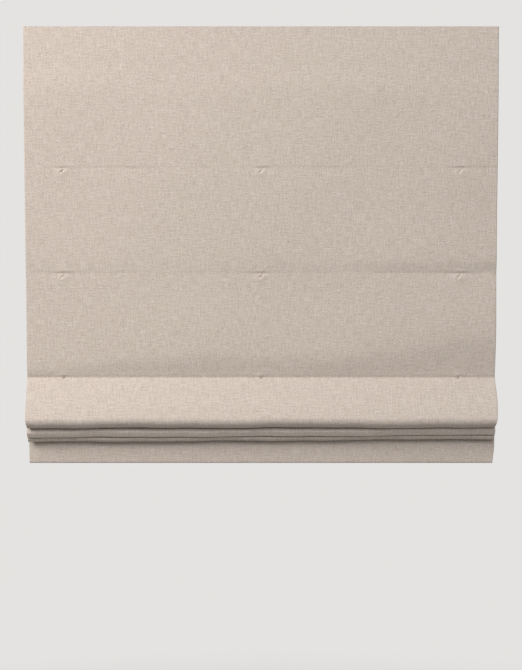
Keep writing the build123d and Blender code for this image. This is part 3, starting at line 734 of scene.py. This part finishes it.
def length_of_cloth(layer_name, name, start, stop):
    """A length of one layer, as a sheet whose flat size is the layer's width by the length of the line."""
    layer = LAYERS[layer_name]
    piece = cloth_piece(f"{layer_name}_{name}", start, stop, layer)
    dress(piece, layer["material"], layer["node"])
    return piece


def hang_layer(layer_name):
    """The lengths of one layer: its head, three panels that each hang from the body at their top, the fronts
    and backs of three loops, and its foot."""
    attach(length_of_cloth(layer_name, "head", 0.0, HEAD_END), "headrail_body")
    starts = (HEAD_END, ROW_S[0], ROW_S[1])
    for i, body in enumerate(PANEL_BODIES):
        panel = length_of_cloth(layer_name, f"panel_{i + 1}", starts[i], ROW_S[i])
        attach(panel, body)
        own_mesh(panel)
    tops = (FOLD, TUCK_S[0], TUCK_S[1])
    for i in range(3):
        upper, lower = f"row_{i + 3}", f"row_{i + 4}"
        front = length_of_cloth(layer_name, f"pleat_{i + 1}_front", tops[i], LOOP_S[i])
        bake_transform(front)
        back = length_of_cloth(layer_name, f"pleat_{i + 1}_back", LOOP_S[i], TUCK_S[i])
        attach(back, lower)
    foot_name, foot_end, foot_held = LAYERS[layer_name]["foot"]
    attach(length_of_cloth(layer_name, foot_name, TUCK_S[2], foot_end), "row_6")


for layer_name in LAYERS:
    hang_layer(layer_name)


# Rod pockets, with the stitching that joins each ring to its pocket

# The middle of each ring's stitches lies this far behind its rod's middle
STITCH_BEHIND = 3.75
RING_THREAD_R = 0.24
FRONT_THREAD_R = 0.45
# The slant of the stitches at each column's knots, in radians
KNOT_SLANTS = (0.95, 0.75, 1.15)


def rod_pocket(number):
    """A sewn tube round a rod, open at its ends: rings of its outside, then of its bore, joined into one
    skin. Its outside is uneven by up to 0.15 mm, by two sines along it."""
    y, z = RODS[number - 1]
    x = np.linspace(-LINING_HALF, LINING_HALF, 150)
    turn = np.linspace(0, 2 * np.pi, 20, endpoint=False)
    X, T = np.meshgrid(x, turn, indexing="ij")
    uneven = 0.09 * np.sin(X / 11.0 + number) * np.cos(T) + 0.06 * np.sin(X / 4.3) * np.sin(2 * T)
    outer = np.stack([X, y + (POCKET_R + uneven) * np.cos(T), z + (POCKET_R + uneven) * np.sin(T)], -1)
    inner = np.stack([X, y + POCKET_BORE_R * np.cos(T), z + POCKET_BORE_R * np.sin(T)], -1)
    rings = np.concatenate([outer, inner[::-1]])
    rows, sides = rings.shape[:2]
    i, j = np.meshgrid(np.arange(rows), np.arange(sides), indexing="ij")
    n, k = (i + 1) % rows, (j + 1) % sides
    faces = np.stack([i * sides + j, n * sides + j, n * sides + k, i * sides + k], -1)
    around = np.broadcast_to(turn[None, :] * POCKET_R, (rows, sides))
    uv = np.stack([rings[..., 0], around], -1).reshape(-1, 2)
    return make_piece(f"rod_pocket_{number}", rings.reshape(-1, 3), faces.reshape(-1, 4).tolist(), uv, 60)


def ring_stitches(number):
    """Five turns of thread, 0.55 mm apart, round each ring's wire and through its pocket. Each turn is an
    ellipse 3.5 mm by 2.7 mm that leans 0.25 mm to each side across the blind."""
    y, z = RODS[number - 1]
    turn = np.linspace(0, 2 * np.pi, 20, endpoint=False)
    reach = y + STITCH_BEHIND
    parts = []
    for column in COLUMNS:
        for step in range(5):
            x = column + 0.55 * (step - 2)
            round_wire = reach + 1.75 * np.cos(turn), z + 1.35 * np.sin(turn)
            line = np.stack([x + 0.25 * np.sin(turn), *round_wire], -1)
            parts.append(closed_tube(line, RING_THREAD_R, 6))
    return gather(f"ring_stitches_{number}", parts)


def front_stitches(number):
    """The two turns of thread, 1 mm apart, that show at each knot on the front of the cloth and slant across
    its dimple. Each turn is an ellipse 4.8 mm long and 1.6 mm deep, and the cloth hides its inner part."""
    knot = ROW_S[number - 1] + KNOT_BELOW[number - 1]
    y, z = (float(np.interp(knot, LINE_S, values)) for values in (LINE_Y, LINE_Z))
    turn = np.linspace(0, 2 * np.pi, 24, endpoint=False)
    parts = []
    for column, slant in zip(COLUMNS, KNOT_SLANTS):
        for step in (-0.5, 0.5):
            run = 2.4 * np.cos(turn)
            x = column - 0.6 + run * np.cos(slant) - step * np.sin(slant)
            height = z + 0.6 + run * np.sin(slant) + step * np.cos(slant)
            line = np.stack([x, y - 2.1 - 0.8 * np.sin(turn), height], -1)
            parts.append(closed_tube(line, FRONT_THREAD_R, 8))
    return gather(f"front_stitches_{number}", parts)


for number in range(1, 7):
    pocket = rod_pocket(number)
    dress(pocket, lining_cotton, "lining")
    stitches = [ring_stitches(number)]
    if number <= 3:
        stitches.append(front_stitches(number))
    for piece in stitches:
        piece.data.materials.append(thread)
        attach(piece, f"row_{number}")
    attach(pocket, f"row_{number}")


# Lift tapes: the turns on each spool, and the run down through the rings


def tape_point(z):
    """The tape's y and z at a height: it runs straight from the coil to the clip."""
    share = (TAPE_TOP[1] - z) / (TAPE_TOP[1] - TAPE_FOOT[1])
    return TAPE_TOP[0] + share * (TAPE_FOOT[0] - TAPE_TOP[0]), z


def tape_run(name, top, foot, x):
    """A straight run of tape between two heights."""
    return band(name, [tape_point(z) for z in np.linspace(top, foot, 5)], TAPE_WIDTH, TAPE_T, x)


def tape_coil(name, x):
    """The turns of tape on the spool: a spiral whose radius grows evenly with the angle, from the spool's
    core to where the run leaves it."""
    end = np.arctan2(TAPE_TOP[1] - SHAFT[1], TAPE_TOP[0] - SHAFT[0])
    angle = np.linspace(end - 2 * np.pi * COIL_TURNS, end, int(48 * COIL_TURNS))
    radius = np.linspace(COIL_INNER_R, COIL_OUTER_R, len(angle))
    path = np.stack([SHAFT[0] + radius * np.cos(angle), SHAFT[1] + radius * np.sin(angle)], -1)
    return band(name, path, TAPE_WIDTH, COIL_T, x)


def lift_tape(side, x):
    """One lift tape: its coil turns with the shaft, its three upper runs each hang from the body at their
    top, and its three lower runs are fixed where they are."""

    def woven(piece):
        return dress(piece, lift_tape_weave, f"lift_tape_{side}")

    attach(woven(tape_coil(f"tape_{side}_coil", x)), "lift_shaft_body")
    heights = [TAPE_TOP[1]] + [z for _, z in RODS[:5]] + [TAPE_FOOT[1]]
    for i, body in enumerate(PANEL_BODIES):
        run = woven(tape_run(f"tape_{side}_run_{i + 1}", heights[i], heights[i + 1], x))
        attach(run, body)
        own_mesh(run)
    for i in (3, 4, 5):
        run = woven(tape_run(f"tape_{side}_run_{i + 1}", heights[i], heights[i + 1], x))
        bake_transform(run)


for side, x in zip(SIDES, COLUMNS):
    lift_tape(side, x)


# Finishes of the hard parts

FINISHES = {
    "headrail": enamel,
    "end_cap": acetal,
    "hook_strip": nap,
    "loop_strip": nap,
    "lift_shaft": bright_steel,
    "bracket_rivet": bright_steel,
    "bracket_lever": acetal,
    "bracket": zinc_plate,
    "motor_spring": bright_steel,
    "motor_screws": bright_steel,
    "motor": acetal,
    "lift_spool": acetal,
    "spool_cradle": acetal,
    "row_rod": glass_fibre,
    "row_rings": acrylic,
    "tape_clips": acrylic,
    "weight_bar": mill_aluminium,
}
for name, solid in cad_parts.items():
    found = [key for key in FINISHES if name.startswith(key)]
    if found:
        solid.data.materials.clear()
        solid.data.materials.append(FINISHES[max(found, key=len)])


# Floor, light and surroundings

FLOOR_Z = -2.0
FLOOR_RADIUS = 4.0
FLOOR_SIDES = 96
# The floor is whole out to the first distance, and clear from the second
FLOOR_WHOLE, FLOOR_CLEAR = 1.0, 3.0
# Where the lamps point, near the middle of the blind
AIM = Vector((0.0, 0.0, -0.45))
# The strength of the light from a little below level, and from straight above
SKY_LOW, SKY_HIGH = 0.02, 0.76


def pale_floor():
    """A round matt floor that is whole under the blind and fades out to the backdrop towards its edge."""
    turn = np.linspace(0, 2 * np.pi, FLOOR_SIDES, endpoint=False)
    points = np.stack([FLOOR_RADIUS * np.cos(turn), FLOOR_RADIUS * np.sin(turn), np.zeros(FLOOR_SIDES)], -1)
    mesh = bpy.data.meshes.new("floor")
    mesh.from_pydata(points, [], [range(FLOOR_SIDES)])
    piece = bpy.data.objects.new("floor", mesh)
    piece.location = (0.0, 0.0, FLOOR_Z)
    bpy.context.scene.collection.objects.link(piece)
    material, tree = new_tree("matt pale paper")
    mottle = pattern(tree, (3.0, 3.0, 3.0))
    paper = add(tree, "BsdfDiffuse", {"Color": tone(tree, mottle, 0.3, 0.7, "#B0AFAD", "#ACABA9")})
    place = add(tree, "TexCoord", {}, output="Object")
    away = add(tree, "VectorMath", {0: place}, output="Value", operation="LENGTH")
    ends = {1: FLOOR_WHOLE, 2: FLOOR_CLEAR, 3: 0.0, 4: 1.0}
    fade = add(tree, "MapRange", {0: away, **ends}, interpolation_type="SMOOTHSTEP")
    clear = add(tree, "BsdfTransparent", {})
    surface = add(tree, "MixShader", {0: fade, 1: paper, 2: clear})
    add(tree, "OutputMaterial", {"Surface": surface}, output=None)
    mesh.materials.append(material)


def soft_light(name, place, width, height, power, colour):
    """A soft rectangular lamp that faces the middle of the blind."""
    lamp = bpy.data.lights.new(name, "AREA")
    lamp.shape, lamp.size, lamp.size_y = "RECTANGLE", width, height
    lamp.energy, lamp.color = power, linear(colour)[:3]
    piece = bpy.data.objects.new(name, lamp)
    bpy.context.scene.collection.objects.link(piece)
    piece.location = place
    piece.rotation_euler = (AIM - Vector(place)).to_track_quat("-Z", "Y").to_euler()


def pale_surroundings():
    """Soft light that comes mostly from above, and a plain pale backdrop where the camera looks straight at
    it, or sees it in a reflection or through something clear."""
    world = bpy.data.worlds.new("pale studio")
    bpy.context.scene.world = world
    world.use_nodes = True
    tree = world.node_tree
    tree.nodes.clear()
    direction = add(tree, "TexCoord", {}, output="Object")
    upwards = add(tree, "SeparateXYZ", {0: direction}, output="Z")
    strength = add(tree, "MapRange", {0: upwards, 1: -0.15, 2: 1.0, 3: SKY_LOW, 4: SKY_HIGH})
    lighting = add(tree, "Background", {"Color": linear("#F6F6F7"), "Strength": strength})
    backdrop = add(tree, "Background", {"Color": linear("#E4E3E1"), "Strength": 1.0})
    rays = add(tree, "LightPath", {}, output=None)
    kinds = ("Is Camera Ray", "Is Glossy Ray", "Is Transmission Ray")
    seen = mix_of(tree, [(rays[kind], 1.0) for kind in kinds])
    seen = add(tree, "Math", {0: seen, 1: 1.0}, operation="MINIMUM")
    surface = add(tree, "MixShader", {0: seen, 1: lighting, 2: backdrop})
    add(tree, "OutputWorld", {"Surface": surface}, output=None)


pale_floor()
soft_light("key", (-2.4, -1.9, 1.3), 1.3, 1.3, 96.0, "#FFFBF6")
soft_light("fill", (0.6, -3.1, 1.0), 2.0, 1.6, 39.0, "#FAFBFF")
soft_light("back", (0.8, 2.6, 1.3), 1.8, 1.8, 55.0, "#FFFFFF")
pale_surroundings()
bpy.context.scene.view_settings.view_transform = "Standard"
